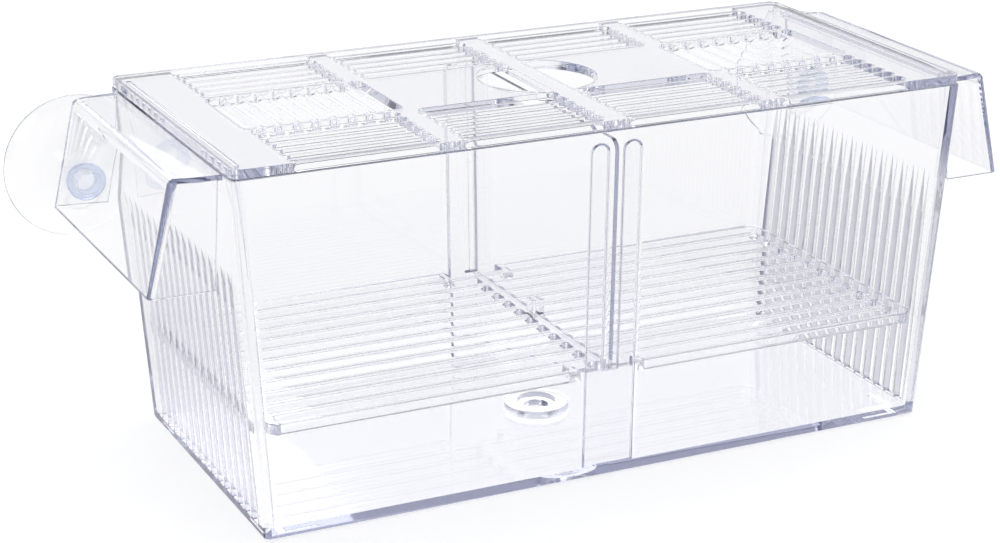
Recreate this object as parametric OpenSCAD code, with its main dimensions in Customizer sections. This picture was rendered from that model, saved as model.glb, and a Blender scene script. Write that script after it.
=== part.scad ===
/* [Tank] */
// Outside length of the tank at the rim
rim_l = 210; // [190:1:230]
// Outside depth of the tank at the rim, front to back
rim_d = 97; // [94:1:110]
// Height of the rim above the ground the feet stand on
rim_z = 97.2; // [94:0.1:110]
// How far each end wall leans in over the height of the tank
draft_x = 6.7; // [6.2:0.1:7.5]
// How far the front and back walls lean in over the height of the tank
draft_y = 2.7; // [2.4:0.1:3.2]
// Thickness of the side walls, measured level
wall = 2.2; // [2:0.1:2.5]
// Thickness of the floor plate
floor_t = 2.2; // [2:0.1:2.8]
// Height of the feet under the floor plate
foot_h = 0.8; // [0.6:0.1:1.2]
// Radius of the four upright corners of the tank, inside and out
corner_r = 1.8; // [1.7:0.1:2.4]
// Length of each leg of the four angled feet
foot_l = 11; // [8:0.5:14]
// Width of the feet
foot_w = 2; // [1.5:0.1:3]

/* [Centre ring] */
// Outside diameter of the ring in the middle of the floor
ring_d = 18.2; // [17:0.1:22]
// Diameter of the drain hole through the ring
drain_d = 7; // [6:0.1:9]
// Diameter of the shallow recess around the drain hole
recess_d = 11; // [10:0.1:14]
// Height of the ring above the ground
ring_h = 5.4; // [5:0.1:7]
// Depth of the recess around the drain hole
recess_h = 1.4; // [1:0.1:2]

/* [End wall slots] */
// Number of water slots in each end wall
slot_n = 16; // [10:1:16]
// Spacing of the water slots
slot_pitch = 5.15; // [5:0.05:5.2]
// Width of a water slot at the floor
slot_w_low = 3.6; // [2.4:0.1:3.8]
// Width of a water slot at its top
slot_w_high = 2.3; // [1.4:0.1:2.8]
// Height of the top of the slots above the ground
slot_top = 71.2; // [60:0.2:74]
// Height of the ramp that ends a slot, where it runs out through the outer face
slot_ramp = 12; // [6:0.5:20]

/* [Divider guides] */
// Width of one guide rib
rib_w = 4.6; // [3.5:0.1:5]
// Width of the groove between the two ribs of a pair
groove_w = 4.9; // [3.5:0.1:6]
// How far the ribs stand in from the wall
rib_out = 2; // [1.5:0.1:2.5]
// How far the rounded rib tops lie under the rim
rib_drop = 4; // [3.8:0.2:16]
// Height where the groove ends on the solid block below it
block_top = 30.2; // [29.6:0.1:30.4]

/* [Ears] */
// How far the ear stands out at the rim
ear_top_out = 13; // [12.5:0.1:15]
// How far the ear stands out at its lower edge
ear_low_out = 19.7; // [19:0.1:22]
// Height of the ear
ear_h = 29.5; // [28:0.1:32]
// Thickness of the ear walls
ear_t = 1.5; // [1.3:0.1:1.8]
// Radius of the outer top edge of the ear
ear_r = 2; // [1.6:0.2:2.6]
// Gap between an ear cheek and the tank wall near the rim
cheek_gap = 0.9; // [0.8:0.1:1.2]

/* [Suction cups] */
// Outward offset of the cup axis from the rim end
cup_out = 9.7; // [9.5:0.1:10]
// How far the cup axis lies under the rim
cup_drop = 22.4; // [21.8:0.1:22.8]
// How far the sucker rim stands behind the tank
disc_out = 4.5; // [4.4:0.1:6]
// Height of the sucker from its rim to its neck
dome_h = 10.8; // [10:0.1:11]
// Length of the neck behind the ear cheek
neck_out = 0.7; // [0.7:0.1:1.4]
// Diameter of the sucker disc
cup_d = 40; // [36:0.5:40.5]
// Diameter of the cup neck
neck_d = 6; // [5:0.1:6.4]
// Diameter of the retaining head
head_d = 11; // [10.4:0.1:11]
// Thickness of the retaining head
head_t = 3; // [2.6:0.1:3.4]
// Diameter of the blind hole in the head
head_hole = 5.6; // [4.6:0.1:6]
// Depth of the blind hole in the head
head_hole_h = 5; // [4:0.1:6]
// Gap all round between the neck and its hole in the ear
neck_gap = 0.05; // [0.02:0.01:0.08]

/* [Lid] */
// Thickness of the lid plate
lid_t = 2.5; // [2:0.1:3.5]
// Radius of the four corners of the lid
lid_r = 3; // [2:0.5:5]
// Gap under the lid
lid_gap = 0.3; // [0.3:0.1:0.4]
// Width of the solid lid border at the front and back slots
vent_edge = 2.3; // [2:0.1:3]
// Width of the solid lid border at the slot ends
vent_end = 16; // [14:0.5:18]
// Width of the solid land between the two slot groups of a row
vent_land = 5.4; // [4.6:0.1:6]
// Width of the bar across the finger hole
finger_bar = 5.9; // [5:0.1:6.2]
// Depth of the locating strips under the lid
strip_h = 2; // [1.5:0.1:2.2]
// Thickness of the locating strips
strip_t = 1.2; // [1:0.1:1.6]
// How far the strips end inside the front and back of the lid
strip_end = 5.5; // [5:0.1:8]

/* [Divider and platform] */
// Thickness of the divider panel
divider_t = 1.2; // [1:0.1:1.4]
// How far the divider top lies under the rim
divider_drop = 3.2; // [3.2:0.2:9]
// Radius of the divider's top corners
divider_r = 3; // [2:0.2:4]
// Length of the tabs at the divider's lower corners
tab_l = 5.9; // [5:0.1:7]
// Height of the platform underside above the ground
platform_z = 28.2; // [27.8:0.1:28.4]
// Thickness of the platform
platform_t = 3; // [2.8:0.1:3.2]
// Number of slot rows in the platform
row_n = 12; // [8:2:12]
// Width of the platform border along the front and back
row_edge = 2.3; // [2:0.1:3]
// Width of the platform border at the ends
row_end = 4.8; // [4:0.1:6]
// Width of the platform slots
row_w = 4; // [3:0.1:4]
// Size of the chamfers on the platform corners
platform_c = 3.5; // [2.5:0.1:4.5]
// Height of the prongs beside the divider
prong_h = 5.2; // [4:0.1:6]
// Thickness of the prongs
prong_t = 1.4; // [1:0.1:1.6]
// Width of the prongs, front to back
prong_w = 4; // [3:0.1:5]

/* [Hidden] */
$fn = 48;
eps = 0.02;
floor_z = foot_h + floor_t;
tank_h = rim_z - foot_h;
cup_x = rim_l / 2 + cup_out;
cup_z = rim_z - cup_drop;
head_gap = 0.3;
fit = 0.5;
disc_y = rim_d / 2 + disc_out;
cheek_y = disc_y - dome_h - neck_out;
ear_w = 2 * cheek_y;
head_y = cheek_y - ear_t - head_gap - head_t;
rib_top = rim_z - rib_drop;
divider_top = rim_z - divider_drop;
ear_low_z = rim_z - ear_h;
lid_z = rim_z + lid_gap;
pair_w = groove_w + 2 * rib_w;
platform_top = platform_z + platform_t;
platform_l = 2 * (half_l(platform_z) - wall - fit);
platform_d = 2 * (half_d(platform_z) - wall - fit);
notch_gap = 1.45;
notch_w = pair_w + 2 * notch_gap;
notch_in = 4;
notch_d = rib_out + notch_in;
row_pitch = (platform_d - 2 * row_edge - row_w) / (row_n - 1);
spine_w = 4.6;
vent_n = 6;
vent_field = rim_d * 0.178;
vent_pitch = (rim_d / 2 - vent_edge - vent_field) / (vent_n - 0.2);
vent_w = 0.8 * vent_pitch;
vent_first = rim_d / 2 - vent_edge - vent_w / 2;
vent_mid = rim_l * 0.2195;
cross_n = 9;
cross_first = rim_l * 0.2271;
cross_last = rim_l / 2 - vent_end - 1.3;
cross_pitch = (cross_last - cross_first) / (cross_n - 1);
cross_w = 0.8 * cross_pitch;
cross_half = rim_d * 0.1577;
finger_d = rim_d * 0.335;
clear = [0.86, 0.91, 0.96, 0.35];
soft = [0.84, 0.9, 0.95, 0.45];

// Half of the outside length of the tank at height z
function half_l(z) = rim_l / 2 - draft_x * (rim_z - z) / tank_h;
// Half of the outside depth of the tank at height z
function half_d(z) = rim_d / 2 - draft_y * (rim_z - z) / tank_h;

// Four thin upright discs at the corners of a rectangle
module corner_discs(l, d, r, z) {
    for (sx = [-1, 1], sy = [-1, 1])
        translate([sx * (l / 2 - r), sy * (d / 2 - r), z])
            cylinder(h = eps, r = r, $fn = 24);
}

// Leaning block with rounded upright corners, smaller by s all round than the tank
module leaning_block(z0, z1, s, r) {
    hull() {
        corner_discs(2 * half_l(z0) - 2 * s, 2 * half_d(z0) - 2 * s, r, z0);
        corner_discs(2 * half_l(z1) - 2 * s, 2 * half_d(z1) - 2 * s, r, z1 - eps);
    }
}

// Outline of one water slot, seen along X, foot at the origin
module slot_outline(h) {
    polygon([[-slot_w_low / 2, 0], [slot_w_low / 2, 0],
             [slot_w_high / 2, h], [-slot_w_high / 2, h]]);
}

// Depth of the slots of the right end, seen along Y: through the wall up to
// the ramp, then shallower until they end in the outer face
module slot_depth() {
    ramp_z = slot_top - slot_ramp;
    polygon([[half_l(floor_z) - wall - 1, floor_z], [half_l(floor_z) + 16, floor_z],
             [half_l(floor_z) + 16, slot_top], [half_l(slot_top), slot_top],
             [half_l(ramp_z) - wall, ramp_z], [half_l(ramp_z) - wall - 1, ramp_z]]);
}

// All water slots of the right end wall
module end_slots() {
    intersection() {
        for (i = [0 : slot_n - 1])
            translate([half_l(floor_z) - wall - 3, (i - (slot_n - 1) / 2) * slot_pitch, floor_z])
                rotate([90, 0, 90])
                    linear_extrude(height = 24)
                        slot_outline(slot_top - floor_z);
        translate([0, rim_d / 2, 0])
            rotate([90, 0, 0])
                linear_extrude(height = rim_d)
                    slot_depth();
    }
}

// Profile, seen along X, of a rib leaning with the back wall
module rib_side(z0, z1) {
    polygon([[half_d(z0) - wall / 2, z0], [half_d(z0) - wall - rib_out, z0],
             [half_d(z1) - wall - rib_out, z1], [half_d(z1) - wall / 2, z1]]);
}

// One guide rib on the back wall with a rounded top, centre line at x
module guide_rib(x) {
    intersection() {
        translate([x - rib_w / 2, 0, 0])
            rotate([90, 0, 90])
                linear_extrude(height = rib_w)
                    rib_side(floor_z - 1, rib_top);
        translate([x, rim_d / 2 + 1, 0])
            rotate([90, 0, 0])
                linear_extrude(height = 20)
                    union() {
                        translate([-rib_w / 2, 0])
                            square([rib_w, rib_top - rib_w / 2]);
                        translate([0, rib_top - rib_w / 2])
                            circle(d = rib_w);
                    }
    }
}

// Pair of ribs and the solid block under their groove
module guide_pair() {
    guide_rib(-(groove_w + rib_w) / 2);
    guide_rib((groove_w + rib_w) / 2);
    translate([-pair_w / 2, 0, 0])
        rotate([90, 0, 90])
            linear_extrude(height = pair_w)
                rib_side(floor_z - 1, block_top);
}

// Solid profile of the right ear, seen along Y, with its rounded outer edge
module ear_profile() {
    x0 = rim_l / 2;
    lean = atan2(ear_low_out - ear_top_out, ear_h);
    half = (90 + lean) / 2;
    back = ear_r / tan(half);
    bx = x0 + ear_top_out;
    union() {
        polygon([[x0 - 1, rim_z], [bx - back, rim_z],
                 [bx - back, rim_z - ear_r],
                 [bx + back * sin(lean), rim_z - back * cos(lean)],
                 [x0 + ear_low_out, ear_low_z], [x0 + cheek_gap + 1.5, ear_low_z],
                 [x0 + cheek_gap, rim_z - ear_t], [x0 - 1, rim_z - ear_t]]);
        translate([bx - back, rim_z - ear_r])
            circle(r = ear_r);
    }
}

// Space inside the right ear, seen along Y
module ear_space() {
    x0 = rim_l / 2;
    polygon([[x0 - 4, rim_z - ear_t],
             [x0 + ear_top_out - ear_t - 0.6, rim_z - ear_t],
             [x0 + ear_top_out - ear_t + 0.4, rim_z - ear_t - 2],
             [x0 + ear_low_out - ear_t + 0.3, ear_low_z - 1],
             [x0 - 4, ear_low_z - 1]]);
}

// Right ear: a hood open below, joined to the tank along its top only
module right_ear() {
    difference() {
        translate([0, cheek_y, 0])
            rotate([90, 0, 0])
                linear_extrude(height = ear_w)
                    ear_profile();
        translate([0, cheek_y - ear_t, 0])
            rotate([90, 0, 0])
                linear_extrude(height = ear_w - 2 * ear_t)
                    ear_space();
        translate([cup_x, cheek_y + 1, cup_z])
            rotate([90, 0, 0])
                cylinder(h = ear_t + 2, d = neck_d + 2 * neck_gap);
    }
}

// One angled foot in the corner at +X +Y
module corner_foot() {
    fx = half_l(foot_h) - 4.5;
    fy = half_d(foot_h) - 4.5;
    linear_extrude(height = foot_h + 0.4)
        union() {
            translate([fx - foot_l, fy - foot_w])
                square([foot_l, foot_w]);
            translate([fx - foot_w, fy - foot_l])
                square([foot_w, foot_l]);
        }
}

module tank_body() {
    color(clear)
    difference() {
        union() {
            difference() {
                leaning_block(foot_h, rim_z, 0, corner_r);
                leaning_block(floor_z, rim_z + 2, wall, corner_r);
            }
            guide_pair();
            mirror([0, 1, 0])
                guide_pair();
            right_ear();
            mirror([1, 0, 0])
                right_ear();
            for (sx = [0, 1], sy = [0, 1])
                mirror([sx, 0, 0])
                    mirror([0, sy, 0])
                        corner_foot();
            cylinder(h = ring_h, d = ring_d);
        }
        end_slots();
        mirror([1, 0, 0])
            end_slots();
        translate([0, 0, -1])
            cylinder(h = ring_h + 2, d = drain_d);
        translate([0, 0, ring_h - recess_h])
            cylinder(h = 3, d = recess_d);
    }
}

// Long slot with round ends, w wide, from x0 to x1 at height y
module vent(x0, x1, y, w) {
    translate([x0 + w / 2, y - w / 2])
        square([x1 - x0 - w, w]);
    translate([x0 + w / 2, y])
        circle(d = w, $fn = 24);
    translate([x1 - w / 2, y])
        circle(d = w, $fn = 24);
}

// Slots of the quarter of the lid at +X +Y and half of the middle field
module lid_vents() {
    for (i = [0 : vent_n - 1]) {
        y = vent_first - i * vent_pitch;
        vent(finger_bar / 2 + 0.15, vent_mid - vent_land / 2, y, vent_w);
        vent(vent_mid + vent_land / 2, rim_l / 2 - vent_end, y, vent_w);
    }
}

// Cross slots of the middle field at +X
module lid_cross_vents() {
    for (i = [0 : cross_n - 1])
        translate([cross_first + i * cross_pitch, 0])
            rotate(90)
                vent(-cross_half, cross_half, 0, cross_w);
}

module lid() {
    color(clear)
    union() {
        translate([0, 0, lid_z])
            linear_extrude(height = lid_t)
                difference() {
                    union() {
                        square([rim_l - 2 * lid_r, rim_d], center = true);
                        square([rim_l, rim_d - 2 * lid_r], center = true);
                        for (sx = [-1, 1], sy = [-1, 1])
                            translate([sx * (rim_l / 2 - lid_r), sy * (rim_d / 2 - lid_r)])
                                circle(r = lid_r);
                    }
                    for (sx = [0, 1], sy = [0, 1])
                        mirror([sx, 0])
                            mirror([0, sy])
                                lid_vents();
                    lid_cross_vents();
                    mirror([1, 0])
                        lid_cross_vents();
                    difference() {
                        circle(d = finger_d, $fn = 72);
                        square([finger_bar, finger_d + 2], center = true);
                    }
                }
        for (sx = [-1, 1])
            translate([sx * (half_l(rim_z - strip_h) - wall - fit - strip_t / 2), 0, lid_z - strip_h / 2 + 0.1])
                cube([strip_t, rim_d - 2 * strip_end, strip_h + 0.2], center = true);
    }
}

// Outline of the divider panel, seen along X
module divider_outline() {
    top_y = half_d(divider_top) - wall - fit;
    low_y = half_d(block_top) - wall - fit;
    tab_y = low_y - tab_l;
    r = divider_r;
    difference() {
        union() {
            polygon([[-low_y, block_top + 0.3], [low_y, block_top + 0.3],
                     [top_y, divider_top - r], [-top_y, divider_top - r]]);
            translate([-top_y + r, divider_top - r - 0.5])
                square([2 * top_y - 2 * r, r + 0.5]);
            for (s = [-1, 1])
                translate([s * (top_y - r), divider_top - r])
                    circle(r = r);
        }
        translate([-tab_y, block_top - 1])
            square([2 * tab_y, platform_top + 0.4 - block_top + 1]);
    }
}

module divider_panel() {
    color(clear)
    translate([-divider_t / 2, 0, 0])
        rotate([90, 0, 90])
            linear_extrude(height = divider_t)
                divider_outline();
}

// Slots of the platform quarter at +X +Y, the outermost one shorter
module platform_rows() {
    for (i = [0 : row_n / 2 - 1]) {
        y = (i + 0.5) * row_pitch;
        x0 = y + row_w / 2 > platform_d / 2 - notch_d - 1 ? notch_w / 2 + 2.5 : spine_w / 2;
        translate([x0, y - row_w / 2])
            square([platform_l / 2 - row_end - x0, row_w]);
    }
}

module slotted_platform() {
    l = platform_l / 2;
    d = platform_d / 2;
    c = platform_c;
    color(clear)
    union() {
        translate([0, 0, platform_z])
            linear_extrude(height = platform_t)
                difference() {
                    polygon([[-l + c, -d], [l - c, -d], [l, -d + c], [l, d - c],
                             [l - c, d], [-l + c, d], [-l, d - c], [-l, -d + c]]);
                    for (sx = [0, 1], sy = [0, 1])
                        mirror([sx, 0])
                            mirror([0, sy])
                                platform_rows();
                    for (s = [-1, 1])
                        translate([0, s * d])
                            square([notch_w, 2 * notch_d], center = true);
                }
        for (s = [-1, 1])
            translate([s * (divider_t / 2 + 0.3 + prong_t / 2), 0, platform_top + prong_h / 2 - 0.2])
                cube([prong_t, prong_w, prong_h], center = true);
    }
}

// Sucker skin from the neck over the rim into the hollow: share of the
// radius against share of the height above the rim
SKIN = [[0.3, 0.889], [0.5, 0.6], [0.7, 0.38], [0.85, 0.26], [0.99, 0.111],
        [1, 0.065], [0.995, 0], [0.88, 0.056], [0.6, 0.194], [0.3, 0.343], [0, 0.389]];

// Half section of a suction cup, radius against distance along its axis
module cup_half() {
    n = neck_d / 2;
    h = head_d / 2;
    rim = disc_y - head_y;
    low = rim - dome_h;
    difference() {
        polygon(concat([[0, 0], [h - 0.8, 0], [h, 0.8], [h, head_t - 0.8], [h - 0.8, head_t],
                        [n, head_t], [n, low - 0.4], [n + 1.4, low]],
                       [for (k = SKIN) [k[0] * cup_d / 2, rim - k[1] * dome_h]]));
        square([head_hole / 2, head_hole_h]);
    }
}

// Suction cup with its axis along Y, head towards the front
module cup(x) {
    translate([x, head_y, cup_z])
        rotate([-90, 0, 0])
            rotate_extrude($fn = 64)
                cup_half();
}

module suction_cup_left() {
    color(soft)
    cup(-cup_x);
}

module suction_cup_right() {
    color(soft)
    cup(cup_x);
}

tank_body();
lid();
divider_panel();
slotted_platform();
suction_cup_left();
suction_cup_right();
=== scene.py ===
import math
import bmesh
import bpy
from mathutils import Euler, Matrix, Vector


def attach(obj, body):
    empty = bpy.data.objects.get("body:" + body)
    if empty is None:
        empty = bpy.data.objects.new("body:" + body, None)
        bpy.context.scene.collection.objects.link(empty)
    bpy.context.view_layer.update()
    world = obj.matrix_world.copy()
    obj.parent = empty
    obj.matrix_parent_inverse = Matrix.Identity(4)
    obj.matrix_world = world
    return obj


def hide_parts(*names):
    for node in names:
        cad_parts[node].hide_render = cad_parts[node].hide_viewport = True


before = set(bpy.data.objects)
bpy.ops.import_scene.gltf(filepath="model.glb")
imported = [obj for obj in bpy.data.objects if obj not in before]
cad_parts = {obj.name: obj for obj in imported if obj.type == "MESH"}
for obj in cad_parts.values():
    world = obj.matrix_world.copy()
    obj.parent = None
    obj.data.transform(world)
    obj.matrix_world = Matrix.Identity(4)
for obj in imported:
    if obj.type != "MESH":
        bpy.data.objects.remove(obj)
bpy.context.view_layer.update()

scene = bpy.context.scene

# ---------------------------------------------------------------- Camera
# The photograph looks down on the box by 19 degrees, from a little left of its long front,
# with a long lens. Where it stands and how it leans were solved from the corners of the tank.
camera_data = bpy.data.cameras.new("camera")
camera_data.lens = 88.615
camera_data.sensor_width = 36
camera_data.sensor_fit = "HORIZONTAL"
camera_data.clip_start = 0.01
camera_data.clip_end = 50
camera = bpy.data.objects.new("camera", camera_data)
camera.location = (-0.28917, -0.57933, 0.27164)
camera.rotation_euler = Euler([math.radians(a) for a in (70.5865, -0.1205, -25.6092)])
scene.collection.objects.link(camera)
scene.camera = camera
scene.view_settings.view_transform = "Standard"
# Light crosses many clear walls one after the other, so it may bend more often than usual.
BOUNCES = 96
scene.cycles.max_bounces = BOUNCES
scene.cycles.transmission_bounces = BOUNCES
scene.cycles.glossy_bounces = BOUNCES
scene.cycles.transparent_max_bounces = 40

# ---------------------------------------------------------------- Studio
# A white table in a white room, as catalogue pictures of clear goods are taken. A dark ceiling
# and dark cards show in the clear plastic alone, so that its edges draw themselves.


def colour(sheet):
    """Linear colour of an sRGB hex value."""
    parts = [int(sheet[i:i + 2], 16) / 255 for i in (0, 2, 4)]
    return tuple(c / 12.92 if c <= 0.04045 else ((c + 0.055) / 1.055) ** 2.4 for c in parts)


def add(tree, kind, settings=None, inputs=None):
    """One node with its settings, and its inputs set to values or linked from sockets."""
    made = tree.nodes.new(kind)
    for name, value in (settings or {}).items():
        setattr(made, name, value)
    for name, value in (inputs or {}).items():
        if isinstance(value, bpy.types.NodeSocket):
            tree.links.new(value, made.inputs[name])
        else:
            made.inputs[name].default_value = value
    return made


room = bpy.data.worlds.new("white_room")
room.use_nodes = True
scene.world = room
tree = room.node_tree
tree.nodes.clear()
where = add(tree, "ShaderNodeTexCoord")
split = add(tree, "ShaderNodeSeparateXYZ", inputs={0: where.outputs["Generated"]})
# The walls of the room grow a little darker upwards.
ceiling = add(tree, "ShaderNodeMapRange", {"interpolation_type": "SMOOTHSTEP"}, {
    0: split.outputs["Z"], 1: 0.45, 2: 0.85})
sideways = add(tree, "ShaderNodeMath", {"operation": "ABSOLUTE"}, {0: split.outputs["X"]})
cards = add(tree, "ShaderNodeMapRange", {"interpolation_type": "SMOOTHSTEP"}, {
    0: sideways.outputs[0], 1: 0.84, 2: 0.93})
dark = add(tree, "ShaderNodeMath", {"operation": "MAXIMUM"}, {0: ceiling.outputs[0], 1: cards.outputs[0]})
rise = add(tree, "ShaderNodeMapRange", {"interpolation_type": "SMOOTHSTEP"}, {
    0: split.outputs["Z"], 1: 0.08, 2: 0.28})
wall = add(tree, "ShaderNodeMix", {"data_type": "RGBA"}, {
    0: rise.outputs[0], 6: (1, 1, 1, 1), 7: (*colour("ebecf1"), 1)})
bands = add(tree, "ShaderNodeMix", {"data_type": "RGBA"}, {
    0: dark.outputs[0], 6: wall.outputs[2], 7: (*colour("3f4256"), 1)})
rays = add(tree, "ShaderNodeLightPath")
seen = add(tree, "ShaderNodeBackground", inputs={"Color": (1, 1, 1, 1), "Strength": 1.0})
bent = add(tree, "ShaderNodeBackground", inputs={"Color": bands.outputs[2], "Strength": 1.0})
soft = add(tree, "ShaderNodeBackground", inputs={"Color": (1, 1, 1, 1), "Strength": 0.72})
through = add(tree, "ShaderNodeMath", {"operation": "MAXIMUM"}, {
    0: rays.outputs["Is Glossy Ray"], 1: rays.outputs["Is Transmission Ray"]})
glass_or_not = add(tree, "ShaderNodeMixShader", inputs={
    0: through.outputs[0], 1: soft.outputs[0], 2: bent.outputs[0]})
camera_or_not = add(tree, "ShaderNodeMixShader", inputs={
    0: rays.outputs["Is Camera Ray"], 1: glass_or_not.outputs[0], 2: seen.outputs[0]})
add(tree, "ShaderNodeOutputWorld", inputs={"Surface": camera_or_not.outputs[0]})

bpy.ops.object.select_all(action="DESELECT")
bpy.ops.mesh.primitive_plane_add(size=6)
table = bpy.context.object
table.name = "table"
paper = bpy.data.materials.new("white_paper")
paper.use_nodes = True
tree = paper.node_tree
tree.nodes.clear()
rays = add(tree, "ShaderNodeLightPath")
matt = add(tree, "ShaderNodeBsdfDiffuse", inputs={"Color": (*colour("e9e9ea"), 1)})
# The paper is lifted to white where the camera sees it, and less where plastic shows it,
# most of all under the box, where a pool of light is painted into the paper as its own glow.
lift = add(tree, "ShaderNodeEmission", inputs={"Color": (1, 1, 1, 1), "Strength": 0.30})
where = add(tree, "ShaderNodeTexCoord")
oval = add(tree, "ShaderNodeMapping", inputs={
    "Vector": where.outputs["Object"], "Scale": (7.5, 13.0, 1)})
away = add(tree, "ShaderNodeVectorMath", {"operation": "LENGTH"}, {0: oval.outputs[0]})
# Painted pool of light: the paper glows more inside an oval under the box.
painted_light_pool = add(tree, "ShaderNodeMapRange", {"interpolation_type": "SMOOTHSTEP"}, {
    0: away.outputs["Value"], 1: 0.75, 2: 1.35, 3: 0.46, 4: 0.20})
lift_bent = add(tree, "ShaderNodeEmission", inputs={"Color": (1, 1, 1, 1), "Strength": painted_light_pool.outputs[0]})
through = add(tree, "ShaderNodeMath", {"operation": "MAXIMUM"}, {
    0: rays.outputs["Is Glossy Ray"], 1: rays.outputs["Is Transmission Ray"]})
nothing = add(tree, "ShaderNodeEmission", inputs={"Strength": 0.0})
bent_or_not = add(tree, "ShaderNodeMixShader", inputs={
    0: through.outputs[0], 1: nothing.outputs[0], 2: lift_bent.outputs[0]})
lifted = add(tree, "ShaderNodeMixShader", inputs={
    0: rays.outputs["Is Camera Ray"], 1: bent_or_not.outputs[0], 2: lift.outputs[0]})
both = add(tree, "ShaderNodeAddShader", inputs={0: matt.outputs[0], 1: lifted.outputs[0]})
add(tree, "ShaderNodeOutputMaterial", inputs={"Surface": both.outputs[0]})
table.data.materials.append(paper)

for name, place, power in (("lamp_left", (-1.1, -0.5, 0.9), 4), ("lamp_right", (1.2, 0.3, 0.9), 4),
                           ("lamp_back", (0.1, 1.3, 0.9), 3)):
    lamp_data = bpy.data.lights.new(name, "AREA")
    lamp_data.shape = "DISK"
    lamp_data.size = 0.9
    lamp_data.energy = power
    lamp = bpy.data.objects.new(name, lamp_data)
    lamp.location = place
    towards_box = Vector((0, 0, 0.05)) - Vector(place)
    lamp.rotation_euler = towards_box.to_track_quat("-Z", "Y").to_euler()
    scene.collection.objects.link(lamp)

# ---------------------------------------------------------------- Tank
# One injection moulding in clear polystyrene: floor, four leaning walls, a row of water slots
# in each end, a pair of guide ribs front and back, a drain ring and a hood-shaped ear at each
# end. The mould is polished, and every edge keeps the small radius the cutter left in it.
mm = 0.001
RIM_L, RIM_D, RIM_Z = 105, 48.5, 97.2      # half length, half depth and height of the rim
FOOT_H, WALL, FLOOR_Z = 0.8, 2.2, 3.0
LEAN_X, LEAN_Y, SHELL_H = 6.7, 2.7, 96.4   # how far the walls lean in over the shell's height


def half_length(z):
    """Half the outside length of the tank at height z, in mm."""
    return RIM_L - LEAN_X * (RIM_Z - z) / SHELL_H


def half_depth(z):
    """Half the outside depth of the tank at height z, in mm."""
    return RIM_D - LEAN_Y * (RIM_Z - z) / SHELL_H


def slab(name, corners, axis, start, end):
    """Flat plate: the corners of an n-gon are set across the axis, and it is extruded along it.

    The corners are pairs in mm: (y, z) across X, (x, z) across Y, (x, y) across Z."""
    bpy.ops.object.select_all(action="DESELECT")
    bpy.ops.mesh.primitive_circle_add(vertices=len(corners), fill_type="NGON")
    piece = bpy.context.object
    piece.name = name
    for point, (u, v) in zip(piece.data.vertices, corners):
        place = [u * mm, v * mm]
        place.insert("XYZ".index(axis), start * mm)
        point.co = place
    bpy.ops.object.mode_set(mode="EDIT")
    bpy.ops.mesh.select_all(action="SELECT")
    step = [0, 0, 0]
    step["XYZ".index(axis)] = (end - start) * mm
    bpy.ops.mesh.extrude_region_move(TRANSFORM_OT_translate={"value": step})
    bpy.ops.mesh.select_all(action="SELECT")
    bpy.ops.mesh.normals_make_consistent(inside=False)
    bpy.ops.object.mode_set(mode="OBJECT")
    return piece


def choose(piece, kind, test):
    """In edit mode, select only the parts of one kind (VERT, EDGE or FACE) that pass the test."""
    bpy.ops.mesh.select_mode(type=kind)
    bpy.ops.mesh.select_all(action="DESELECT")
    shape = bmesh.from_edit_mesh(piece.data)
    for part in {"VERT": shape.verts, "EDGE": shape.edges, "FACE": shape.faces}[kind]:
        if test(part):
            part.select_set(True)
    shape.select_flush_mode()
    bmesh.update_edit_mesh(piece.data)


def runs(edge, axis):
    """Whether an edge runs mostly along an axis (0, 1 or 2)."""
    way = (edge.verts[0].co - edge.verts[1].co).normalized()
    return abs(way[axis]) > 0.9


def apply(piece, kind, **settings):
    """Give a piece one modifier and apply it."""
    bpy.ops.object.select_all(action="DESELECT")
    piece.select_set(True)
    bpy.context.view_layer.objects.active = piece
    work = piece.modifiers.new(kind.lower(), kind)
    for name, value in settings.items():
        setattr(work, name, value)
    bpy.ops.object.modifier_apply(modifier=work.name)


def join(piece, others, how="UNION"):
    """Weld other shapes to a piece (UNION) or cut them out of it (DIFFERENCE)."""
    for other in others:
        apply(piece, "BOOLEAN", operation=how, solver="EXACT", object=other)
        bpy.data.objects.remove(other)


def finish_edges(piece, radius, steps=2):
    """Round every edge by a small radius, and shade broad faces flat and roundings smooth."""
    bpy.ops.object.select_all(action="DESELECT")
    piece.select_set(True)
    bpy.context.view_layer.objects.active = piece
    bpy.ops.object.mode_set(mode="EDIT")
    bpy.ops.mesh.select_all(action="SELECT")
    bpy.ops.mesh.remove_doubles(threshold=0.01 * mm)
    bpy.ops.mesh.dissolve_limited(angle_limit=math.radians(0.3))
    bpy.ops.object.mode_set(mode="OBJECT")
    apply(piece, "BEVEL", width=radius * mm, segments=steps, limit_method="ANGLE",
          angle_limit=math.radians(28), use_clamp_overlap=False, miter_outer="MITER_ARC")
    bpy.ops.object.shade_smooth_by_angle(angle=math.radians(40))
    apply(piece, "WEIGHTED_NORMAL", weight=100, keep_sharp=True)


# Shell: a block, drawn wider towards the rim and sunk from the top, with its upright corners
# rounded a little inside and out.
bpy.ops.object.select_all(action="DESELECT")
bpy.ops.mesh.primitive_cube_add(size=1)
tank = bpy.context.object
tank.name = "tank_shell"
for point in tank.data.vertices:
    z = RIM_Z if point.co.z > 0 else FOOT_H
    point.co = (math.copysign(half_length(z), point.co.x) * mm,
                math.copysign(half_depth(z), point.co.y) * mm, z * mm)
bpy.ops.object.mode_set(mode="EDIT")
choose(tank, "FACE", lambda f: f.normal.z > 0.9)
bpy.ops.mesh.inset(thickness=WALL * mm)
bpy.ops.mesh.extrude_region_move(TRANSFORM_OT_translate={"value": (0, 0, (FLOOR_Z - RIM_Z) * mm)})
bpy.ops.transform.resize(
    value=((half_length(FLOOR_Z) - WALL) / (RIM_L - WALL), (half_depth(FLOOR_Z) - WALL) / (RIM_D - WALL), 1),
    center_override=(0, 0, FLOOR_Z * mm))
choose(tank, "EDGE", lambda e: runs(e, 2))
bpy.ops.mesh.bevel(offset=1.8 * mm, segments=6, affect="EDGES")
bpy.ops.object.mode_set(mode="OBJECT")

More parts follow.
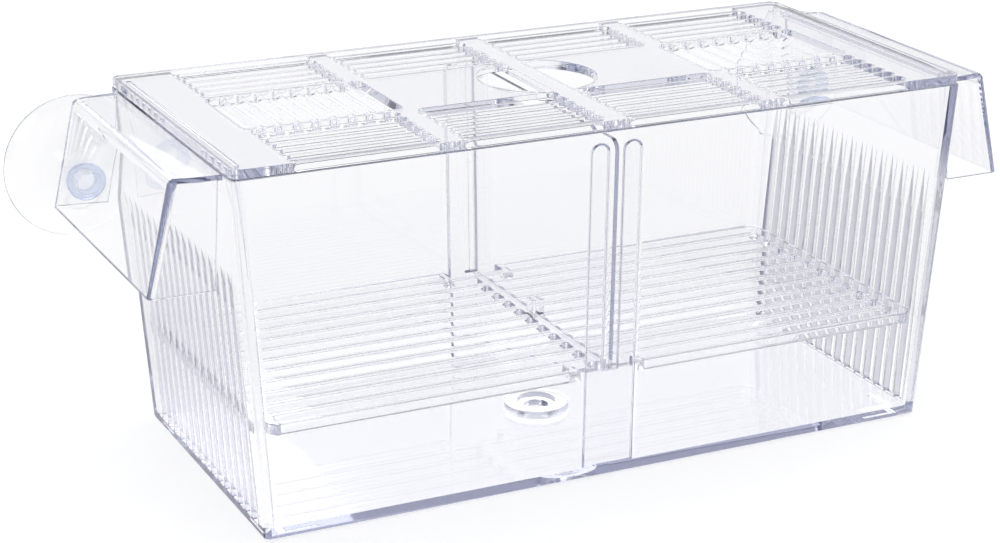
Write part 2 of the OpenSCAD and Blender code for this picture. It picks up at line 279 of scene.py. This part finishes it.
# Water slots: sixteen in each end, narrower towards the top, where a ramp carries them out
# through the outer face.
SLOT_TOP, RAMP_Z = 71.2, 59.2
SLOT_N, SLOT_STEP = 16, 5.15
PAST_WALL, OUTSIDE = 3.2, 116      # the cutter starts inside the wall and ends clear of it
for side in (-1, 1):
    slot = slab("slot", [(side * x, z) for x, z in (
        (half_length(FLOOR_Z) - PAST_WALL, FLOOR_Z), (OUTSIDE, FLOOR_Z), (OUTSIDE, SLOT_TOP),
        (half_length(SLOT_TOP), SLOT_TOP), (half_length(RAMP_Z) - WALL, RAMP_Z),
        (half_length(RAMP_Z) - PAST_WALL, RAMP_Z))], "Y", -1, 1)
    for point in slot.data.vertices:
        half_width = 1.8 - 0.65 * (point.co.z / mm - FLOOR_Z) / (SLOT_TOP - FLOOR_Z)
        point.co.y = math.copysign(half_width, point.co.y) * mm - (SLOT_N - 1) / 2 * SLOT_STEP * mm
    apply(slot, "ARRAY", count=SLOT_N, use_relative_offset=False, use_constant_offset=True,
          constant_offset_displace=(0, SLOT_STEP * mm, 0))
    join(tank, [slot], "DIFFERENCE")

# Guide ribs: a leaning block on each long wall, with the divider's groove cut down to the
# block below it and the tops of the two ribs rounded over.
GROOVE_HALF, PAIR_HALF = 2.45, 7.05
BLOCK_TOP, RIB_TOP = 30.2, 93.2
RIB_OUT, SUNK = 2, 1.1             # how far a rib stands in from the wall, and reaches into it
for side in (-1, 1):
    guide = slab("guide", [(side * (half_depth(z) - WALL - inwards), z) for z, inwards in (
        (2, RIB_OUT), (2, -SUNK), (RIB_TOP, -SUNK), (RIB_TOP, RIB_OUT))], "X", -PAIR_HALF, PAIR_HALF)
    groove = slab("groove", [(side * y, z) for y, z in (
        (30, BLOCK_TOP), (60, BLOCK_TOP), (60, 110), (30, 110))], "X", -GROOVE_HALF, GROOVE_HALF)
    join(guide, [groove], "DIFFERENCE")
    bpy.context.view_layer.objects.active = guide
    bpy.ops.object.mode_set(mode="EDIT")
    choose(guide, "EDGE", lambda e: runs(e, 1) and min(v.co.z for v in e.verts) > 93 * mm)
    bpy.ops.mesh.bevel(offset=2.25 * mm, segments=7, affect="EDGES")
    bpy.ops.object.mode_set(mode="OBJECT")
    join(tank, [guide])

# The ribs run out into the wall in a hollow rounding, all the way round their tops.
bpy.ops.object.select_all(action="DESELECT")
tank.select_set(True)
bpy.context.view_layer.objects.active = tank
bpy.ops.object.mode_set(mode="EDIT")
choose(tank, "EDGE", lambda e: all(
    abs(abs(v.co.y) / mm - half_depth(v.co.z / mm) + WALL) < 0.05
    and GROOVE_HALF - 0.05 < abs(v.co.x) / mm < PAIR_HALF + 0.05 for v in e.verts)
    and max(v.co.z for v in e.verts) > (BLOCK_TOP + 0.3) * mm)
bpy.ops.mesh.bevel(offset=1.0 * mm, segments=4, affect="EDGES")
bpy.ops.object.mode_set(mode="OBJECT")

# Ears: a hood closed on top, outside and at both cheeks, open below, welded on along its top.
# The cup's neck goes through a hole in the back cheek.
EAR_TOP_IN, EAR_LOW = 95.7, 67.7   # underside of the ear's top, and its lower edge
EAR_HALF, EAR_WALL = 41.5, 1.5
CUP_X, CUP_Z = 114.7, 74.8         # axis of the left and right cup
for side in (-1, 1):
    ear = slab("ear", [(side * x, z) for x, z in (
        (104, RIM_Z), (118, RIM_Z), (124.7, EAR_LOW), (107.4, EAR_LOW),
        (105.9, EAR_TOP_IN), (104, EAR_TOP_IN))], "Y", -EAR_HALF, EAR_HALF)
    bpy.ops.object.mode_set(mode="EDIT")
    choose(ear, "EDGE", lambda e: runs(e, 1) and min(v.co.z for v in e.verts) > 97 * mm
           and abs(e.verts[0].co.x) > 117 * mm)
    bpy.ops.mesh.bevel(offset=1.6 * mm, segments=5, affect="EDGES")
    choose(ear, "EDGE", lambda e: not runs(e, 1) and min(abs(v.co.x) for v in e.verts) > 116 * mm
           and max(v.co.z for v in e.verts) > 90 * mm)
    bpy.ops.mesh.bevel(offset=2.0 * mm, segments=7, affect="EDGES")
    bpy.ops.object.mode_set(mode="OBJECT")
    space = slab("space", [(side * x, z) for x, z in (
        (101, EAR_TOP_IN), (115.9, EAR_TOP_IN), (116.9, 93.7), (123.5, EAR_LOW - 1), (101, EAR_LOW - 1))],
        "Y", EAR_WALL - EAR_HALF, EAR_HALF - EAR_WALL)
    bpy.ops.object.mode_set(mode="EDIT")
    choose(space, "EDGE", lambda e: min(abs(v.co.x) for v in e.verts) > 115 * mm
           and min(v.co.z for v in e.verts) < 90 * mm and max(v.co.z for v in e.verts) > 90 * mm)
    bpy.ops.mesh.bevel(offset=0.8 * mm, segments=4, affect="EDGES")
    bpy.ops.object.mode_set(mode="OBJECT")
    bpy.ops.object.select_all(action="DESELECT")
    bpy.ops.mesh.primitive_cylinder_add(
        vertices=40, radius=3.05 * mm, depth=6 * mm, location=(side * CUP_X * mm, 41 * mm, CUP_Z * mm),
        rotation=(math.radians(90), 0, 0))
    hole = bpy.context.object
    join(ear, [space, hole], "DIFFERENCE")
    join(tank, [ear])

# Feet: an angle under each corner of the floor.
FOOT_X, FOOT_Y, FOOT_L, FOOT_W = 93.8, 41.3, 11, 2
for sx in (-1, 1):
    for sy in (-1, 1):
        foot = slab("foot", [(sx * (FOOT_X - u), sy * (FOOT_Y - v)) for u, v in (
            (0, 0), (FOOT_L, 0), (FOOT_L, FOOT_W), (FOOT_W, FOOT_W), (FOOT_W, FOOT_L), (0, FOOT_L))],
            "Z", 0, 1.2)
        join(tank, [foot])

# Drain ring: a low round boss through the floor, sunk a little on top, with the hole in it.
bpy.ops.object.select_all(action="DESELECT")
RING_H = 5.4
bpy.ops.mesh.primitive_cylinder_add(
    vertices=72, radius=9.1 * mm, depth=RING_H * mm, location=(0, 0, RING_H / 2 * mm))
ring = bpy.context.object
bpy.ops.object.transform_apply()
bpy.ops.object.mode_set(mode="EDIT")
choose(ring, "FACE", lambda f: f.normal.z > 0.9)
bpy.ops.mesh.inset(thickness=3.6 * mm)
bpy.ops.mesh.extrude_region_move(TRANSFORM_OT_translate={"value": (0, 0, -1.4 * mm)})
bpy.ops.object.mode_set(mode="OBJECT")
join(tank, [ring])
bpy.ops.object.select_all(action="DESELECT")
bpy.ops.mesh.primitive_cylinder_add(vertices=48, radius=3.5 * mm, depth=20 * mm, location=(0, 0, 3 * mm))
drain = bpy.context.object
join(tank, [drain], "DIFFERENCE")
finish_edges(tank, 0.2)

# Clear polystyrene, injection moulded and water-clear. Its high index bends light hard, so the
# edges are bright and slate-blue, and the walls ripple faintly where the melt flowed.
crystal = bpy.data.materials.new("moulded_clear_polystyrene")
crystal.use_nodes = True
tree = crystal.node_tree
tree.nodes.clear()
place = add(tree, "ShaderNodeTexCoord")
# Flow ripple about 25 mm long, very shallow.
ripple = add(tree, "ShaderNodeTexNoise", inputs={
    "Vector": place.outputs["Object"], "Scale": 40.0, "Detail": 1.0, "Roughness": 0.4})
wave = add(tree, "ShaderNodeBump", inputs={"Strength": 0.012, "Distance": 0.0006, "Height": ripple.outputs[0]})
# Fine haze and hairlines of handling, drawn at 0.5 mm.
haze = add(tree, "ShaderNodeTexNoise", inputs={
    "Vector": place.outputs["Object"], "Scale": 900.0, "Detail": 3.0, "Roughness": 0.6})
polished = add(tree, "ShaderNodeMapRange", inputs={0: haze.outputs[0], 1: 0.3, 2: 0.8, 3: 0.0, 4: 0.02})


def product(*shares):
    """Product of several shares between 0 and 1."""
    total = shares[0]
    for share in shares[1:]:
        total = add(tree, "ShaderNodeMath", {"operation": "MULTIPLY"}, {0: total, 1: share}).outputs[0]
    return total


def within(value, low, high):
    """1 where a value lies between two limits, 0 elsewhere."""
    return add(tree, "ShaderNodeMath", {"operation": "COMPARE"}, {
        0: value, 1: (low + high) / 2, 2: (high - low) / 2}).outputs[0]


# The mould's slot blades and its drain ring are left finely spark-eroded, the blades on the
# right more than those on the left, so there the plastic comes out matt. Shade is painted on
# them as grey, deeper on the downward ramps and in the drain ring, and more at the right end.
spot = add(tree, "ShaderNodeSeparateXYZ", inputs={0: place.outputs["Object"]})
facing = add(tree, "ShaderNodeSeparateXYZ", inputs={0: place.outputs["Normal"]})
outwards = add(tree, "ShaderNodeMath", {"operation": "ABSOLUTE"}, {0: spot.outputs["X"]}).outputs[0]
sideways = add(tree, "ShaderNodeMath", {"operation": "ABSOLUTE"}, {0: facing.outputs["Y"]}).outputs[0]
at_slots = product(within(outwards, 93 * mm, 105 * mm), within(spot.outputs["Y"], -40.7 * mm, 40.7 * mm),
                   within(spot.outputs["Z"], 2.9 * mm, 71.3 * mm))
slot_walls = product(at_slots, within(sideways, 0.5, 1.5))
ramps = product(at_slots, within(spot.outputs["Z"], 58 * mm, 72 * mm), within(facing.outputs["Z"], -0.5, -0.15))
flat_place = add(tree, "ShaderNodeVectorMath", {"operation": "MULTIPLY"}, {
    0: place.outputs["Object"], 1: (1, 1, 0)})
from_axis = add(tree, "ShaderNodeVectorMath", {"operation": "LENGTH"}, {0: flat_place.outputs[0]})
ring_walls = product(within(from_axis.outputs["Value"], 0, 9.3 * mm),
                     within(spot.outputs["Z"], 2.9 * mm, 9 * mm), within(facing.outputs["Z"], -0.5, 0.5))
# Ramps and drain ring walls are rougher, and take a deeper painted shade.
coarse_and_painted_shade = add(tree, "ShaderNodeMath", {"operation": "MAXIMUM"}, {0: ramps, 1: ring_walls}).outputs[0]
eroded_and_painted_shade = add(tree, "ShaderNodeMath", {"operation": "MAXIMUM"}, {0: slot_walls, 1: coarse_and_painted_shade}).outputs[0]
wear = add(tree, "ShaderNodeMapRange", inputs={
    0: spot.outputs["X"], 1: -0.05, 2: 0.05, 3: 0.14, 4: 0.34})
rough = add(tree, "ShaderNodeMix", inputs={0: eroded_and_painted_shade, 2: polished.outputs[0], 3: wear.outputs[0]})
rightwards = add(tree, "ShaderNodeMapRange", inputs={0: spot.outputs["X"], 1: -0.05, 2: 0.05})
# Painted shade: grey on the eroded faces, greyer at the right end, deeper still on ramps and ring.
painted_shade_grey = add(tree, "ShaderNodeMix", {"data_type": "RGBA"}, {
    0: rightwards.outputs[0], 6: (*colour("f1f1f5"), 1), 7: (*colour("d4d4dc"), 1)})
deeper_painted_shade = add(tree, "ShaderNodeMix", {"data_type": "RGBA"}, {
    0: coarse_and_painted_shade, 6: painted_shade_grey.outputs[2], 7: (*colour("c6c8d2"), 1)})
tint = add(tree, "ShaderNodeMix", {"data_type": "RGBA"}, {0: eroded_and_painted_shade, 6: (1, 1, 1, 1), 7: deeper_painted_shade.outputs[2]})
body = add(tree, "ShaderNodeBsdfPrincipled", inputs={
    "Base Color": tint.outputs[2], "Roughness": rough.outputs[0], "IOR": 1.56,
    "Transmission Weight": 1.0, "Normal": wave.outputs[0]})
rays = add(tree, "ShaderNodeLightPath")
clear = add(tree, "ShaderNodeBsdfTransparent", inputs={"Color": (0.997, 0.997, 0.998, 1)})
surface = add(tree, "ShaderNodeMixShader", inputs={
    0: rays.outputs["Is Shadow Ray"], 1: body.outputs[0], 2: clear.outputs[0]})
depth = add(tree, "ShaderNodeVolumeAbsorption", inputs={"Color": (*colour("d9dbe7"), 1), "Density": 34.0})
add(tree, "ShaderNodeOutputMaterial", inputs={"Surface": surface.outputs[0], "Volume": depth.outputs[0]})
tank.data.materials.clear()
tank.data.materials.append(crystal)
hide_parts("tank_body")
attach(tank, "tank")

# ---------------------------------------------------------------- Platform
# A loose slotted shelf in the same polystyrene. It rests on the guide blocks, has its corners
# cut off, a notch for the guides front and back, and two short prongs at the divider.
plate = slab("platform", [(-94, -43.87), (94, -43.87), (97.5, -40.37), (97.5, 40.37),
                          (94, 43.87), (-94, 43.87), (-97.5, 40.37), (-97.5, -40.37)], "Z", 28.2, 31.2)
cutters = []
ROW_N, ROW_STEP, ROW_END = 6, 7.195, 92.7
for row in range(ROW_N):
    y = (row + 0.5) * ROW_STEP
    start = 11 if row == ROW_N - 1 else 2.3      # the outermost row stops beside the notch
    for sx in (-1, 1):
        for sy in (-1, 1):
            cutters.append(slab("row", [(sx * u, sy * v) for u, v in (
                (start, y - 2), (ROW_END, y - 2), (ROW_END, y + 2), (start, y + 2))], "Z", 20, 40))
for sy in (-1, 1):
    cutters.append(slab("notch", [(x, sy * y) for x, y in (
        (-8.5, 37.87), (8.5, 37.87), (8.5, 50), (-8.5, 50))], "Z", 20, 40))


def gather(pieces):
    """Join loose shapes to one object, without welding them."""
    bpy.ops.object.select_all(action="DESELECT")
    for piece in pieces:
        piece.select_set(True)
    bpy.context.view_layer.objects.active = pieces[0]
    bpy.ops.object.join()
    return pieces[0]


join(plate, [gather(cutters)], "DIFFERENCE")
for sx in (-1, 1):
    prong = slab("prong", [(sx * 0.9, -2), (sx * 2.3, -2), (sx * 2.3, 2), (sx * 0.9, 2)], "Z", 30, 36.2)
    join(plate, [prong])
finish_edges(plate, 0.55, 4)
# The shelf and the lid come from a slightly bluer batch of the same plastic.
bluer = crystal.copy()
bluer.name = "moulded_clear_polystyrene_bluer"
for made in bluer.node_tree.nodes:
    if made.type == "VOLUME_ABSORPTION":
        made.inputs["Density"].default_value = 28.0
plate.data.materials.clear()
plate.data.materials.append(bluer)
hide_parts("slotted_platform")
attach(plate, "platform")

# ---------------------------------------------------------------- Divider
# A thin clear panel that slides down the grooves of the guide ribs. Its top corners are
# rounded, and two tabs at its lower corners reach past the platform.
top_round = [(42.71 + 3 * math.cos(math.radians(a)), 91 + 3 * math.sin(math.radians(a)))
             for a in range(0, 91, 15)]
tabs = [(-43.92, 30.5), (-38.02, 30.5), (-38.02, 31.6), (38.02, 31.6), (38.02, 30.5), (43.92, 30.5)]
panel = slab("divider", tabs + top_round + [(-y, z) for y, z in reversed(top_round)], "X", -0.6, 0.6)
finish_edges(panel, 0.15)
panel.data.materials.clear()
panel.data.materials.append(crystal)
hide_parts("divider_panel")
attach(panel, "divider")

# ---------------------------------------------------------------- Lid
# A flat cover in the same polystyrene with eight fields of air slots, a round finger hole
# with a bar across it, and a thin strip under each end that finds the inside of the tank.
def slot_outline(x0, x1, y0, y1, steps):
    """Outline of a slot with round ends, in mm."""
    points = []
    r = min(x1 - x0, y1 - y0) / 2
    for cx, cy, turn in (
            (x1 - r, y1 - r, 0), (x0 + r, y1 - r, 90), (x0 + r, y0 + r, 180), (x1 - r, y0 + r, 270)):
        for i in range(steps + 1):
            a = math.radians(turn + 90 * i / steps)
            point = (cx + r * math.cos(a), cy + r * math.sin(a))
            if not points or math.dist(points[-1], point) > 0.01:
                points.append(point)
    if math.dist(points[0], points[-1]) < 0.01:
        points.pop()
    return points


LID_R = 3
lid_outline = []
for sx, sy, turn in ((1, 1, 0), (-1, 1, 90), (-1, -1, 180), (1, -1, 270)):
    lid_outline += [(sx * (RIM_L - LID_R) + LID_R * math.cos(math.radians(turn + a)),
                     sy * (RIM_D - LID_R) + LID_R * math.sin(math.radians(turn + a))) for a in range(0, 91, 15)]
lid = slab("lid", lid_outline, "Z", 97.5, 100)
# Long slots, six to a field, in two fields on each side of the middle, front and back.
cutters = []
VENT_FIRST, VENT_STEP, VENT_HALF = 44.2065, 4.984, 1.99
for row in range(6):
    y = VENT_FIRST - row * VENT_STEP
    for x0, x1 in ((3.1, 43.4), (48.8, 89)):
        outline = slot_outline(x0, x1, y - VENT_HALF, y + VENT_HALF, 6)
        for sx in (-1, 1):
            for sy in (-1, 1):
                cutters.append(slab("vent", [(sx * u, sy * v) for u, v in outline], "Z", 90, 110))
# Nine cross slots at each end.
CROSS_FIRST, CROSS_STEP, CROSS_REACH = 47.69, 5.0, 15.3
for i in range(9):
    x = CROSS_FIRST + i * CROSS_STEP
    outline = slot_outline(x - 2, x + 2, -CROSS_REACH, CROSS_REACH, 6)
    for sx in (-1, 1):
        cutters.append(slab("vent", [(sx * u, v) for u, v in outline], "Z", 90, 110))
# Two halves of the round finger hole, with the bar between them.
HOLE_R, BAR_HALF = 16.25, 2.95
half_round = [(BAR_HALF, -15.98)] + [(HOLE_R * math.cos(math.radians(a)), HOLE_R * math.sin(math.radians(a)))
                                     for a in range(-78, 79, 6)] + [(BAR_HALF, 15.98)]
for sx in (-1, 1):
    cutters.append(slab("finger_hole", [(sx * u, v) for u, v in half_round], "Z", 90, 110))
join(lid, [gather(cutters)], "DIFFERENCE")
for sx in (-1, 1):
    strip = slab("strip", [(sx * x, y) for x, y in (
        (101.0, -43), (102.2, -43), (102.2, 43), (101.0, 43))], "Z", 95.5, 98)
    join(lid, [strip])
finish_edges(lid, 0.25)
lid.data.materials.clear()
lid.data.materials.append(bluer)
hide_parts("lid")
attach(lid, "lid")

# ---------------------------------------------------------------- Suction cups
# Soft clear vinyl, moulded in one: a button head that is pushed through the ear, a short neck
# and a thin cupped disc that sticks to the aquarium glass.
HEAD_Y = 36.7
# Radius and distance from the front of the head, in mm: blind hole, head with a groove round
# its lip, neck, outside of the dome, rim, inside of the dome.
skin = [(2.8, 5), (2.8, 0.25), (2.95, 0.05), (3.1, 0),
        (3.6, 0), (3.8, 0.1), (3.9, 0.4), (4, 0.9), (4.2, 1.05), (4.6, 0.95), (5.1, 1), (5.4, 1.2),
        (5.5, 1.6), (5.5, 2.2), (5.2, 2.7), (4.5, 3), (3.2, 3),
        (3, 3.2), (3, 4.9),
        (3.4, 5.3), (4.4, 5.6), (6, 6.7), (8, 8.3), (10, 9.8), (12, 11.1), (14, 12.2), (17, 13.6), (19.6, 15.3),
        (20, 16.1), (19.95, 16.3),
        (19.2, 15.8), (17.2, 14.9), (12, 13.2), (6, 12.3), (2, 12.2)]
for name, side in (("left", -1), ("right", 1)):
    bpy.ops.object.select_all(action="DESELECT")
    bpy.ops.mesh.primitive_circle_add(vertices=64, radius=skin[0][0] * mm, fill_type="NGON",
                                      location=(side * CUP_X * mm, (HEAD_Y + skin[0][1]) * mm, CUP_Z * mm),
                                      rotation=(math.radians(-90), 0, 0))
    cup = bpy.context.object
    bpy.ops.object.transform_apply()
    cup.name = "sucker_" + name
    bpy.ops.object.mode_set(mode="EDIT")
    bpy.ops.mesh.select_mode(type="FACE")
    bpy.ops.mesh.select_all(action="SELECT")
    for (r0, a0), (r1, a1) in zip(skin, skin[1:]):
        bpy.ops.mesh.extrude_region_move(TRANSFORM_OT_translate={"value": (0, (a1 - a0) * mm, 0)})
        bpy.ops.transform.resize(value=(r1 / r0, 1, r1 / r0),
                                 center_override=(side * CUP_X * mm, (HEAD_Y + a1) * mm, CUP_Z * mm))
    bpy.ops.mesh.select_all(action="SELECT")
    bpy.ops.mesh.remove_doubles(threshold=0.005 * mm)
    bpy.ops.mesh.normals_make_consistent(inside=False)
    bpy.ops.object.mode_set(mode="OBJECT")
    bpy.ops.object.shade_smooth()
    if name == "left":
        # Plasticised vinyl: softer and slightly cloudier than the box, with a faint blue cast.
        vinyl = bpy.data.materials.new("moulded_clear_vinyl")
        vinyl.use_nodes = True
        tree = vinyl.node_tree
        tree.nodes.clear()
        place = add(tree, "ShaderNodeTexCoord")
        cloud = add(tree, "ShaderNodeTexNoise", inputs={
            "Vector": place.outputs["Object"], "Scale": 220.0, "Detail": 2.0, "Roughness": 0.5})
        dent = add(tree, "ShaderNodeBump", inputs={
            "Strength": 0.08, "Distance": 0.0004, "Height": cloud.outputs[0]})
        rough = add(tree, "ShaderNodeMapRange", inputs={0: cloud.outputs[0], 1: 0.3, 2: 0.8, 3: 0.04, 4: 0.14})
        # The head and neck are solid, so the blue of the vinyl gathers there.
        along = add(tree, "ShaderNodeSeparateXYZ", inputs={0: place.outputs["Object"]})
        thin = add(tree, "ShaderNodeMapRange", inputs={0: along.outputs["Y"], 1: 0.0405, 2: 0.0440})
        tint = add(tree, "ShaderNodeMix", {"data_type": "RGBA"}, {
            0: thin.outputs[0], 6: (*colour("ccd9f2"), 1), 7: (*colour("ffffff"), 1)})
        body = add(tree, "ShaderNodeBsdfPrincipled", inputs={
            "Base Color": tint.outputs[2], "Roughness": rough.outputs[0], "IOR": 1.45,
            "Transmission Weight": 1.0, "Normal": dent.outputs[0]})
        rays = add(tree, "ShaderNodeLightPath")
        clear = add(tree, "ShaderNodeBsdfTransparent", inputs={"Color": (0.98, 0.985, 0.99, 1)})
        surface = add(tree, "ShaderNodeMixShader", inputs={
            0: rays.outputs["Is Shadow Ray"], 1: body.outputs[0], 2: clear.outputs[0]})
        depth = add(tree, "ShaderNodeVolumeAbsorption", inputs={
            "Color": (*colour("c8cddd"), 1), "Density": 20.0})
        add(tree, "ShaderNodeOutputMaterial", inputs={
            "Surface": surface.outputs[0], "Volume": depth.outputs[0]})
    cup.data.materials.clear()
    cup.data.materials.append(vinyl)
    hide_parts("suction_cup_" + name)
    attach(cup, "cup_" + name)
